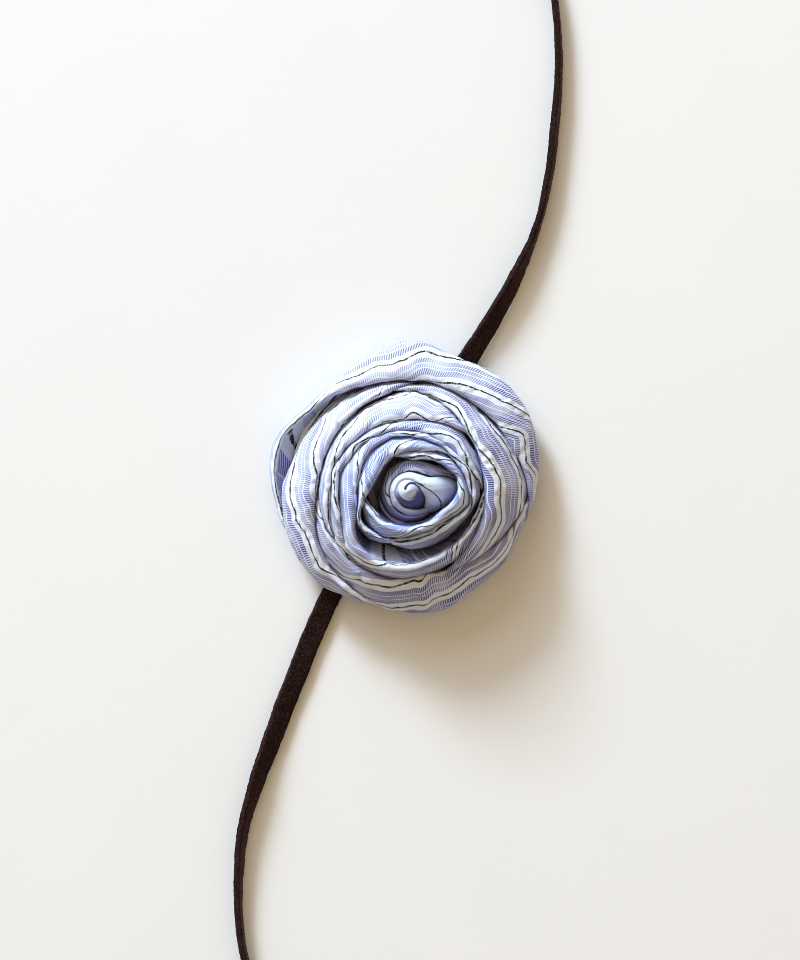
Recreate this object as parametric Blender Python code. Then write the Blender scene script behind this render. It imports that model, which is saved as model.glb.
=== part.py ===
"""Rose corsage: a rose rolled from one folded strip of striped cotton, with a felt backing disc and a
flat suede lace that is held between the two and ties round a wrist.

Metres, +Z up. The part lies on its back. The origin is the centre of the felt's flat back, +Y runs
along the lace, and the rose faces +Z.
"""
import math

import bmesh
import bpy
import numpy as np
from mathutils import Vector

MM = 0.001
GAP = 0.3 * MM

# The rose is about 70 mm across and 25 mm high, and its bud stands a little off its middle.
BUD = Vector((0.8 * MM, -3.9 * MM, 0.0))
STEP_DEGREES = 9.0

# The felt disc is hidden behind the rose.
FELT_RADIUS = 22.0 * MM
FELT_THICKNESS = 1.5 * MM
FELT_BEVEL = 0.3 * MM
FELT_SIDES = 48

# The lace is a flat suede strip. It lies flat under the rose and stands nearly on edge further out.
LACE_WIDTH = 5.0 * MM
LACE_THICKNESS = 1.5 * MM
LACE_STEP = 5.0 * MM
LACE_CLEARANCE = 0.05 * MM
LACE_FLAT_TO = 23.0 * MM
LACE_DOWN_FROM = 34.0 * MM
CHANNEL_REACH = 26.0 * MM
ROSE_BOTTOM = FELT_THICKNESS + GAP
CHANNEL_TOP = ROSE_BOTTOM + LACE_THICKNESS + GAP

# Each fold of the strip is a rounded flap. A row is the angle round the bud in degrees, the radius and
# height of its rim, the radius and height of its outer edge, and how far its inner face slopes in, in mm.
FOLDS = {
    "outer_right": [
        (-15, 31.0, 6.5, 31.1, 5.0, 1.0),
        (-6, 31.0, 8.5, 32.4, 5.2, 1.0),
        (6, 30.4, 10.2, 33.8, 5.5, 1.0),
        (20, 28.9, 11.8, 35.6, 5.5, 1.0),
        (45, 28.0, 13.0, 37.5, 5.5, 1.0),
        (72, 28.2, 13.2, 36.7, 5.5, 1.0),
        (93, 28.4, 13.0, 39.1, 6.0, 1.0),
        (108, 28.9, 12.6, 36.0, 6.0, 1.2),
        (125, 30.8, 11.6, 34.0, 6.0, 2.2),
        (142, 32.6, 10.2, 34.8, 5.5, 3.2),
        (158, 35.2, 8.6, 37.6, 5.0, 5.0),
        (172, 35.0, 7.6, 36.4, 4.8, 4.6),
        (186, 33.6, 7.0, 34.7, 4.8, 2.0),
        (198, 32.8, 6.0, 33.6, 4.8, 1.0),
    ],
    "left": [
        (86, 28.0, 11.0, 28.4, 9.5, 0.8),
        (98, 26.2, 13.4, 28.6, 9.8, 0.8),
        (116, 24.8, 15.0, 29.0, 8.6, 0.8),
        (145, 23.7, 15.4, 30.2, 6.4, 0.8),
        (165, 23.4, 15.2, 31.0, 5.4, 0.8),
        (180, 23.6, 14.9, 33.0, 5.2, 0.8),
        (200, 25.7, 13.5, 33.8, 5.4, 0.8),
        (222, 28.1, 11.8, 33.7, 5.4, 0.8),
        (242, 29.7, 10.0, 31.8, 5.2, 0.8),
        (258, 30.7, 7.6, 31.0, 5.0, 0.8),
    ],
    "bottom": [
        (182, 23.0, 12.6, 24.2, 11.0, 0.8),
        (196, 23.2, 14.2, 25.6, 11.0, 0.8),
        (214, 23.3, 14.9, 27.8, 9.6, 0.8),
        (240, 23.4, 15.0, 29.9, 7.0, 0.8),
        (258, 23.3, 15.2, 31.0, 5.4, 0.8),
        (284, 22.0, 15.8, 32.3, 5.4, 0.8),
        (300, 23.3, 15.0, 31.2, 5.4, 0.8),
        (320, 25.6, 13.2, 31.0, 5.4, 0.8),
        (340, 28.4, 10.8, 30.8, 5.2, 0.8),
        (357, 30.5, 8.0, 32.8, 5.0, 0.8),
    ],
    "right": [
        (289, 23.0, 14.0, 23.6, 13.0, 0.6),
        (300, 22.4, 16.0, 24.0, 13.4, 0.6),
        (311, 21.1, 17.4, 24.8, 13.0, 0.6),
        (330, 20.2, 18.2, 26.9, 11.0, 1.2),
        (360, 19.7, 18.5, 30.8, 8.0, 1.8),
        (388, 20.3, 18.2, 28.7, 9.6, 1.8),
        (408, 21.4, 17.4, 27.7, 10.4, 1.0),
        (424, 23.4, 15.8, 28.2, 10.2, 0.6),
        (440, 25.4, 14.2, 28.1, 10.4, 0.6),
        (462, 25.8, 12.2, 26.6, 10.8, 0.6),
    ],
    "upper_left": [
        (42, 21.0, 16.0, 21.6, 14.8, 0.6),
        (54, 19.8, 18.2, 22.2, 14.4, 0.6),
        (68, 18.9, 19.2, 23.8, 13.2, 0.6),
        (84, 18.2, 19.6, 25.6, 12.0, 0.6),
        (112, 18.5, 19.5, 24.6, 12.4, 0.6),
        (145, 19.3, 18.9, 23.7, 13.0, 0.6),
        (160, 20.4, 18.2, 23.3, 13.2, 0.6),
        (178, 20.2, 18.2, 23.4, 13.2, 0.6),
        (198, 21.4, 17.2, 23.4, 13.4, 0.6),
        (216, 22.9, 15.2, 23.4, 13.4, 0.6),
    ],
    "upper": [
        (0, 18.4, 17.4, 19.2, 16.0, 0.6),
        (12, 16.9, 19.4, 19.4, 15.4, 0.6),
        (30, 15.5, 21.0, 19.6, 14.8, 0.6),
        (55, 14.9, 21.6, 20.2, 15.4, 0.6),
        (82, 15.0, 21.5, 18.9, 16.8, 0.6),
        (104, 15.7, 20.8, 18.6, 16.8, 0.6),
        (135, 16.8, 20.2, 19.4, 16.2, 0.6),
        (160, 17.7, 19.4, 20.4, 15.6, 0.6),
        (172, 18.5, 18.0, 20.2, 15.8, 0.6),
    ],
    "left_inner": [
        (150, 19.6, 17.0, 20.2, 16.0, 0.6),
        (162, 18.8, 18.8, 20.8, 15.8, 0.6),
        (182, 18.4, 19.4, 20.6, 15.8, 0.6),
        (200, 18.9, 19.0, 21.8, 15.2, 0.6),
        (214, 20.6, 17.4, 23.2, 14.2, 0.6),
        (231, 23.2, 14.6, 23.9, 13.2, 0.6),
    ],
    "lower_ring": [
        (98, 15.8, 18.8, 16.6, 17.4, 0.6),
        (111, 14.5, 21.0, 16.6, 17.4, 0.6),
        (130, 14.1, 21.6, 17.2, 16.8, 0.6),
        (165, 13.4, 21.8, 18.6, 15.8, 0.6),
        (185, 13.6, 21.6, 18.8, 15.6, 0.6),
        (204, 15.2, 20.8, 20.0, 15.0, 0.8),
        (222, 18.2, 19.8, 23.0, 13.8, 2.2),
        (240, 19.6, 19.2, 23.8, 13.2, 4.6),
        (262, 19.3, 19.2, 23.2, 13.8, 4.8),
        (284, 18.4, 19.4, 22.2, 14.8, 3.4),
        (305, 18.0, 19.4, 21.6, 15.2, 2.4),
        (330, 18.0, 19.2, 20.6, 15.8, 1.6),
        (348, 18.6, 18.6, 20.0, 15.8, 0.8),
        (362, 19.4, 16.6, 20.2, 15.2, 0.6),
    ],
    "right_inner": [
        (340, 15.4, 19.0, 16.2, 17.4, 0.6),
        (350, 16.1, 20.2, 18.0, 16.4, 0.6),
        (362, 15.4, 21.0, 18.4, 16.0, 0.6),
        (376, 14.7, 21.8, 17.4, 17.2, 0.6),
        (392, 14.0, 22.3, 16.2, 18.4, 0.6),
        (420, 13.8, 22.5, 15.6, 19.2, 0.6),
        (445, 13.7, 22.3, 15.8, 19.0, 0.6),
        (466, 14.0, 21.4, 16.2, 18.2, 0.6),
        (478, 14.4, 19.8, 15.4, 18.0, 0.6),
    ],
    "lower_right_inner": [
        (250, 13.4, 18.6, 14.4, 17.0, 0.6),
        (266, 12.4, 20.6, 15.0, 16.4, 0.6),
        (288, 11.8, 21.4, 15.4, 15.8, 0.6),
        (308, 12.0, 21.6, 15.8, 15.6, 0.6),
        (325, 13.3, 21.2, 16.2, 16.0, 0.6),
        (340, 15.1, 20.4, 17.2, 16.4, 0.6),
        (351, 16.2, 18.8, 17.2, 16.6, 0.6),
    ],
    "inner_left": [
        (36, 13.9, 20.6, 14.6, 19.0, 0.6),
        (49, 13.0, 22.2, 14.4, 19.0, 0.6),
        (64, 11.2, 23.2, 14.2, 18.8, 0.6),
        (84, 10.4, 23.6, 14.2, 18.6, 0.6),
        (112, 9.9, 23.8, 14.4, 18.4, 0.8),
        (140, 9.1, 23.8, 14.4, 18.2, 1.2),
        (158, 9.3, 23.6, 14.0, 18.2, 1.4),
        (178, 10.3, 23.2, 14.0, 18.0, 1.0),
        (194, 12.0, 22.4, 14.6, 17.6, 0.6),
        (208, 14.0, 21.4, 16.2, 16.0, 0.6),
        (228, 14.1, 21.0, 16.2, 15.0, 0.6),
        (246, 13.4, 20.2, 14.8, 16.0, 0.6),
        (260, 12.9, 18.4, 13.8, 16.4, 0.6),
    ],
    "inner_ring": [
        (186, 12.0, 19.4, 12.8, 18.0, 0.6),
        (200, 10.8, 21.4, 13.2, 17.6, 1.0),
        (225, 10.2, 22.4, 14.2, 16.6, 1.4),
        (260, 9.7, 23.0, 12.8, 17.4, 1.4),
        (300, 9.4, 23.4, 12.2, 18.0, 1.0),
        (330, 9.9, 23.2, 14.0, 17.6, 0.8),
        (350, 12.0, 22.6, 16.2, 17.4, 0.6),
        (372, 12.8, 22.6, 15.0, 18.6, 0.6),
        (386, 11.8, 22.9, 14.4, 19.2, 0.6),
        (404, 10.6, 23.2, 13.4, 19.4, 0.8),
        (424, 9.0, 23.2, 12.4, 19.6, 1.0),
        (446, 8.0, 22.8, 10.8, 19.6, 1.0),
        (464, 8.7, 21.8, 10.4, 19.0, 0.6),
        (478, 9.6, 19.8, 10.4, 18.0, 0.6),
    ],
    "bud_outer": [
        (-60, 4.6, 19.6, 7.6, 13.4, 0.4),
        (-34, 4.2, 20.4, 10.0, 16.4, 0.4),
        (-14, 4.0, 20.8, 12.4, 17.6, 0.4),
        (14, 4.0, 20.9, 12.4, 18.0, 0.4),
        (42, 4.6, 20.6, 7.4, 15.2, 0.4),
        (95, 4.8, 20.4, 7.0, 14.0, 0.4),
        (150, 5.0, 20.0, 7.6, 12.6, 0.4),
        (205, 5.4, 19.6, 7.8, 12.4, 0.4),
        (250, 6.2, 19.0, 9.0, 12.8, 0.4),
        (290, 5.6, 18.6, 8.2, 12.4, 0.4),
        (320, 5.0, 18.2, 7.6, 12.4, 0.4),
    ],
    "bud_inner": [
        (40, 2.6, 22.2, 5.4, 18.6, 0.3),
        (110, 2.7, 22.8, 5.4, 18.8, 0.3),
        (190, 2.9, 22.4, 5.8, 18.0, 0.3),
        (270, 3.2, 21.6, 6.2, 16.8, 0.3),
        (340, 3.0, 20.8, 5.6, 17.4, 0.3),
        (400, 2.8, 20.0, 5.2, 17.8, 0.3),
    ],
}

# What the folds are rolled on: radius and height in mm of the packed cloth under them.
CORE_PROFILE = [
    (0.0, 12.0),
    (7.0, 11.5),
    (10.5, 13.0),
    (15.0, 13.0),
    (19.0, 12.0),
    (24.0, 9.0),
    (28.0, 6.6),
    (29.0, 5.0),
    (27.0, 3.9),
]
CORE_SIDES = 40
CORE_SEAT_RADIUS = 20.5 * MM
BUD_TIP = [(3.2, 11.0), (3.0, 20.5), (2.1, 23.4), (1.1, 24.2), (0.5, 24.5)]
BUD_SIDES = 14

# The lace's middle line, outward from under the rose's rim to its cut end. A row is X and Y in mm and
# how far the strip is turned up on its edge, in degrees. Each tail leaves in the direction of its run
# under the rose, and its last 80 mm curve round beyond it.
UPPER_ROUTE = [
    (14.2, 26.7, 8),
    (17.0, 31.6, 22),
    (20.7, 37.6, 44),
    (25.6, 45.3, 54),
    (29.5, 53.0, 66),
    (32.9, 60.9, 77),
    (35.0, 67.6, 79),
    (36.5, 75.4, 79),
    (37.6, 82.5, 79),
    (38.3, 89.6, 79),
    (39.0, 96.5, 80),
    (39.4, 103.2, 81),
    (39.5, 110.0, 82),
    (39.2, 117.0, 83),
    (38.6, 123.8, 83),
    (36.5, 133.4, 80),
    (32.0, 141.8, 72),
    (25.6, 148.2, 60),
    (18.0, 152.4, 45),
    (9.6, 154.2, 30),
    (1.0, 153.6, 16),
    (-7.4, 150.8, 6),
    (-15.0, 146.4, 0),
    (-22.0, 140.6, 0),
]
LOWER_ROUTE = [
    (-17.5, -27.0, 6),
    (-20.0, -32.2, 14),
    (-22.9, -38.6, 28),
    (-25.9, -45.4, 40),
    (-28.8, -52.3, 46),
    (-31.8, -59.8, 48),
    (-34.5, -67.4, 50),
    (-36.9, -74.0, 52),
    (-39.1, -80.6, 56),
    (-41.8, -89.9, 69),
    (-43.3, -102.6, 75),
    (-43.3, -115.0, 80),
    (-42.0, -125.7, 82),
    (-38.8, -134.8, 78),
    (-33.4, -142.8, 68),
    (-26.2, -148.6, 54),
    (-17.8, -152.0, 38),
    (-9.0, -152.8, 22),
    (-0.4, -151.2, 8),
    (7.8, -147.6, 0),
    (15.2, -142.4, 0),
    (21.4, -135.8, 0),
]
HELD_ROUTE = [
    (-17.25, -26.5, 6),
    (-14.4, -21.7, 0),
    (-6.5, -8.4, 0),
    (4.8, 10.8, 0),
    (11.1, 21.4, 0),
    (14.0, 26.35, 8),
]
LEFT_EDGE_UP = 1
RIGHT_EDGE_UP = -1


def clear_scene():
    for obj in list(bpy.data.objects):
        bpy.data.objects.remove(obj, do_unlink=True)


def material(name, colour, roughness):
    made = bpy.data.materials.new(name)
    made.use_nodes = True
    shader = made.node_tree.nodes["Principled BSDF"]
    shader.inputs["Base Color"].default_value = (*colour, 1.0)
    shader.inputs["Roughness"].default_value = roughness
    shader.inputs["Metallic"].default_value = 0.0
    return made


def add_object(name, mesh_data, finish):
    mesh = bpy.data.meshes.new(name)
    mesh_data.to_mesh(mesh)
    mesh_data.free()
    mesh.materials.append(finish)
    obj = bpy.data.objects.new(name, mesh)
    bpy.context.scene.collection.objects.link(obj)
    return obj


def smooth_rows(rows, places):
    """Values of rows at places, on a smooth curve through them; the first column is the place."""
    rows = np.array(rows, dtype=float)
    at, values = rows[:, 0], rows[:, 1:]
    slopes = np.gradient(values, at, axis=0)
    made = []
    for place in places:
        i = int(np.clip(np.searchsorted(at, place) - 1, 0, len(at) - 2))
        span = at[i + 1] - at[i]
        t = (place - at[i]) / span
        start, end = values[i], values[i + 1]
        made.append(
            (2 * t**3 - 3 * t**2 + 1) * start
            + (t**3 - 2 * t**2 + t) * span * slopes[i]
            + (3 * t**2 - 2 * t**3) * end
            + (t**3 - t**2) * span * slopes[i + 1]
        )
    return np.array(made)


def loft(rings):
    """A closed body through rings of points, each ring the same length."""
    body = bmesh.new()
    verts = [[body.verts.new(point) for point in ring] for ring in rings]
    count = len(rings[0])
    for here, there in zip(verts, verts[1:]):
        for k in range(count):
            n = (k + 1) % count
            body.faces.new((here[k], here[n], there[n], there[k]))
    body.faces.new(list(reversed(verts[0])))
    body.faces.new(verts[-1])
    bmesh.ops.recalc_face_normals(body, faces=body.faces)
    bmesh.ops.triangulate(body, faces=body.faces)
    return body


def fold_section(rim_radius, rim_height, edge_radius, edge_height, slope_in):
    """The outline of one fold, in mm from the bud's axis and above the surface, from its inner foot over
    its rim to its outer foot."""
    width = edge_radius - rim_radius
    drop = rim_height - edge_height
    free_edge = edge_height < 7.0
    crest = min(1.3, 0.45 * width)
    foot = max(3.4, min(edge_height, rim_height) - 4.5)
    inner_depth = rim_height - max(foot, rim_height - 8.5)
    points = [
        (rim_radius - slope_in + 0.5 * crest, rim_height - inner_depth),
        (rim_radius, rim_height - 1.2),
        (rim_radius + 0.35 * crest, rim_height - 0.3),
        (rim_radius + crest, rim_height),
        (rim_radius + 0.6 * width, rim_height - 0.34 * drop),
        (edge_radius, edge_height),
    ]
    if free_edge:
        points += [(edge_radius - 0.9, 3.2), (edge_radius - 4.5, 3.6)]
    else:
        points += [(edge_radius + 0.7, foot), (edge_radius - 0.6, foot - 0.8)]
    return points


def fold_body(stations):
    first, last = stations[0][0], stations[-1][0]
    count = max(4, round((last - first) / STEP_DEGREES) + 1)
    angles = np.linspace(first, last, count)
    rings = []
    for angle, row in zip(angles, smooth_rows(stations, angles)):
        turn = math.radians(angle)
        outward = Vector((math.cos(turn), math.sin(turn), 0))
        rings.append([BUD + outward * radius * MM + Vector((0, 0, height * MM))
                      for radius, height in fold_section(*row)])
    return loft(rings)


def ring_about(centre, radius, height, sides):
    turns = [2 * math.pi * k / sides for k in range(sides)]
    return [centre + Vector((math.cos(t) * radius, math.sin(t) * radius, height)) for t in turns]


def core_body():
    rings = [ring_about(BUD, max(radius, 0.1) * MM, height * MM, CORE_SIDES)
             for radius, height in CORE_PROFILE]
    rings.append(ring_about(Vector(), CORE_SEAT_RADIUS, ROSE_BOTTOM, CORE_SIDES))
    return loft(rings)


def bud_body():
    return loft([ring_about(BUD, radius * MM, height * MM, BUD_SIDES) for radius, height in BUD_TIP])


def lace_stations(route):
    """Places along the lace, evenly spaced on a smooth curve: point, direction and turn in radians."""
    rows = np.array(route, dtype=float)
    spans = np.linalg.norm(np.diff(rows[:, :2], axis=0), axis=1)
    along = np.concatenate([[0.0], np.cumsum(spans)])
    table = np.column_stack([along, rows])
    count = max(3, round(along[-1] * MM / LACE_STEP) + 1)
    places = np.linspace(0.0, along[-1], count)
    here = smooth_rows(table, places)
    ahead = smooth_rows(table, np.minimum(places + 0.2, along[-1]))
    behind = smooth_rows(table, np.maximum(places - 0.2, 0.0))
    made = []
    for middle, to, back in zip(here, ahead, behind):
        direction = Vector((to[0] - back[0], to[1] - back[1], 0)).normalized()
        turn = math.radians(max(0.0, middle[2]))
        made.append((Vector((middle[0] * MM, middle[1] * MM, 0)), direction, turn))
    return made


def lace_lift(point):
    """How far the felt holds the lace up at a point, easing to nothing beyond the rose's rim."""
    share = (LACE_DOWN_FROM - point.length) / (LACE_DOWN_FROM - LACE_FLAT_TO)
    share = min(1.0, max(0.0, share))
    return (FELT_THICKNESS + GAP) * share * share * (3 - 2 * share)


def lace_body(route, edge_up):
    rings = []
    for point, direction, turn in lace_stations(route):
        level = Vector((-direction.y, direction.x, 0)) * edge_up
        across = level * math.cos(turn) + Vector((0, 0, math.sin(turn)))
        upward = Vector((0, 0, math.cos(turn))) - level * math.sin(turn)
        half_height = (LACE_WIDTH * math.sin(turn) + LACE_THICKNESS * math.cos(turn)) / 2
        middle = point + Vector((0, 0, half_height + LACE_CLEARANCE + lace_lift(point)))
        side, rise = across * LACE_WIDTH / 2, upward * LACE_THICKNESS / 2
        rings.append([middle - side - rise, middle + side - rise,
                      middle + side + rise, middle - side + rise])
    return loft(rings)


def channel_body():
    """The room that the lace takes in the rose's underside."""
    start, end = (Vector((*HELD_ROUTE[k][:2], 0)) * MM for k in (0, -1))
    along = (end - start).normalized()
    side = Vector((-along.y, along.x, 0)) * (LACE_WIDTH / 2 + 2 * GAP)
    low, high = Vector((0, 0, ROSE_BOTTOM - 2 * GAP)), Vector((0, 0, CHANNEL_TOP))
    rings = []
    for reach in (-CHANNEL_REACH, CHANNEL_REACH):
        middle = (start + end) / 2 + along * reach
        rings.append([middle - side + low, middle + side + low,
                      middle + side + high, middle - side + high])
    return loft(rings)


def keep_outer_body(mesh):
    """Fills the sealed hollows that fusing leaves, and drops loose scraps: only the largest shell stays."""
    body = bmesh.new()
    body.from_mesh(mesh)
    left = set(body.verts)
    shells = []
    while left:
        front = [left.pop()]
        shell = list(front)
        while front:
            vert = front.pop()
            for edge in vert.link_edges:
                other = edge.other_vert(vert)
                if other in left:
                    left.remove(other)
                    front.append(other)
                    shell.append(other)
        shells.append(shell)
    shells.sort(key=len, reverse=True)
    for shell in shells[1:]:
        bmesh.ops.delete(body, geom=shell, context="VERTS")
    body.to_mesh(mesh)
    body.free()


def make_rose():
    finish = material("striped_cotton", (0.62, 0.66, 0.86), 0.85)
    rose = add_object("rose", core_body(), finish)
    parts = bpy.data.collections.new("folds")
    bpy.context.scene.collection.children.link(parts)
    pieces = [(name, fold_body(stations)) for name, stations in FOLDS.items()]
    pieces.append(("bud_tip", bud_body()))
    for name, body in pieces:
        piece = add_object(name, body, finish)
        bpy.context.scene.collection.objects.unlink(piece)
        parts.objects.link(piece)
    union = rose.modifiers.new("join_folds", "BOOLEAN")
    union.operation = "UNION"
    union.operand_type = "COLLECTION"
    union.collection = parts
    union.solver = "MANIFOLD"
    channel = add_object("channel", channel_body(), finish)
    cut = rose.modifiers.new("cut_channel", "BOOLEAN")
    cut.operation = "DIFFERENCE"
    cut.object = channel
    cut.solver = "MANIFOLD"
    evaluated = rose.evaluated_get(bpy.context.evaluated_depsgraph_get())
    joined = bpy.data.meshes.new_from_object(evaluated)
    rose.modifiers.clear()
    keep_outer_body(joined)
    rose.data = joined
    for piece in list(parts.objects) + [channel]:
        bpy.data.objects.remove(piece, do_unlink=True)
    bpy.data.collections.remove(parts)


def make_felt():
    finish = material("felt", (0.035, 0.022, 0.018), 0.95)
    body = bmesh.new()
    bmesh.ops.create_cone(body, cap_ends=True, segments=FELT_SIDES, radius1=FELT_RADIUS,
                          radius2=FELT_RADIUS, depth=FELT_THICKNESS)
    rims = [edge for edge in body.edges if abs(edge.verts[0].co.z - edge.verts[1].co.z) < GAP]
    bmesh.ops.bevel(body, geom=rims, offset=FELT_BEVEL, segments=1, affect="EDGES")
    bmesh.ops.triangulate(body, faces=body.faces)
    felt = add_object("felt_backing", body, finish)
    felt.location.z = FELT_THICKNESS / 2


def make_lace():
    finish = material("suede", (0.032, 0.011, 0.007), 0.9)
    add_object("lace_held", lace_body(HELD_ROUTE, LEFT_EDGE_UP), finish)
    add_object("lace_tail_upper", lace_body(UPPER_ROUTE, LEFT_EDGE_UP), finish)
    add_object("lace_tail_lower", lace_body(LOWER_ROUTE, RIGHT_EDGE_UP), finish)


def main():
    clear_scene()
    make_rose()
    make_felt()
    make_lace()


main()
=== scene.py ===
"""The looks of the rose corsage: striped cotton folds, a suede lace and a felt back, on a pale floor.

Metres, +Z up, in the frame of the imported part: the origin is the centre of the felt's flat back, +Y runs
along the lace, and the rose faces +Z. Fold tables are in mm and degrees round the bud.
"""
import math

import bpy
import numpy as np
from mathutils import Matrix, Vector


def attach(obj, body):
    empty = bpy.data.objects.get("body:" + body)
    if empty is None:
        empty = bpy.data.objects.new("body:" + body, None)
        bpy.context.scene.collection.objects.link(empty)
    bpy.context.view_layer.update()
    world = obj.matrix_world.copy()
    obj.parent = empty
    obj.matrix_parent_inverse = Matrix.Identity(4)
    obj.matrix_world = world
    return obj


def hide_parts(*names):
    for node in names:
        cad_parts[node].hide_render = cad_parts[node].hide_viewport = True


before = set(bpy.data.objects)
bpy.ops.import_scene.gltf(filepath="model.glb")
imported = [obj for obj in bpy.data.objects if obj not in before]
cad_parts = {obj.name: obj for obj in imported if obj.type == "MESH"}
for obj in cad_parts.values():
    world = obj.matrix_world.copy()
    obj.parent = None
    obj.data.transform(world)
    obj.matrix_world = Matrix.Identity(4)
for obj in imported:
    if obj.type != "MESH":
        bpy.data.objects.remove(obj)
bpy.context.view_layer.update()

MM = 0.001
SEED = 20

# The picture: 207 x 249 mm of floor, seen from straight above.
VIEW_CENTRE = (-1.55 * MM, -1.3 * MM)
VIEW_HEIGHT = 248.7 * MM
CAMERA_ABOVE = 1.2
SHARP_PLANE = 8.0 * MM

# Two lights stand to the upper left: a low window, and the wide pale wall round it. The rest of the room
# is warm and dimmer. Each is elevation in degrees, width and height in metres, and power in watts.
LIGHT_FROM = (-0.47, 0.88)
LIGHT_DISTANCE = 2.7
LIGHTS = {"window": (23.0, 0.62, 0.62, 103.0), "wall": (28.0, 2.6, 1.6, 53.0)}
LIGHT_COLOUR = (0.705, 0.838, 0.985)
ROOM_COLOUR = (0.563, 0.4135, 0.2234)
ROOM_LOW_COLOUR = (0.36, 0.385, 0.47)
ROOM_LOW_UP_TO = 0.7
FLOOR_SIZE = 3.0

BUD = np.array([0.8, -3.9])

# The stripe repeats across the strip. Each repeat is a black thread, a puckered white band, rows of
# navy stitches and a plain white band, in mm. A row is its two edges and how dark its stitches are.
REPEAT = 9.0
THREAD_HALF = 0.27
STITCH_ROWS = ((1.8, 3.7, 1.0), (4.0, 5.3, 0.75), (5.6, 7.1, 0.9))
STITCH_PITCH = 0.60
STITCH_SHARE = 0.52

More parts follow.
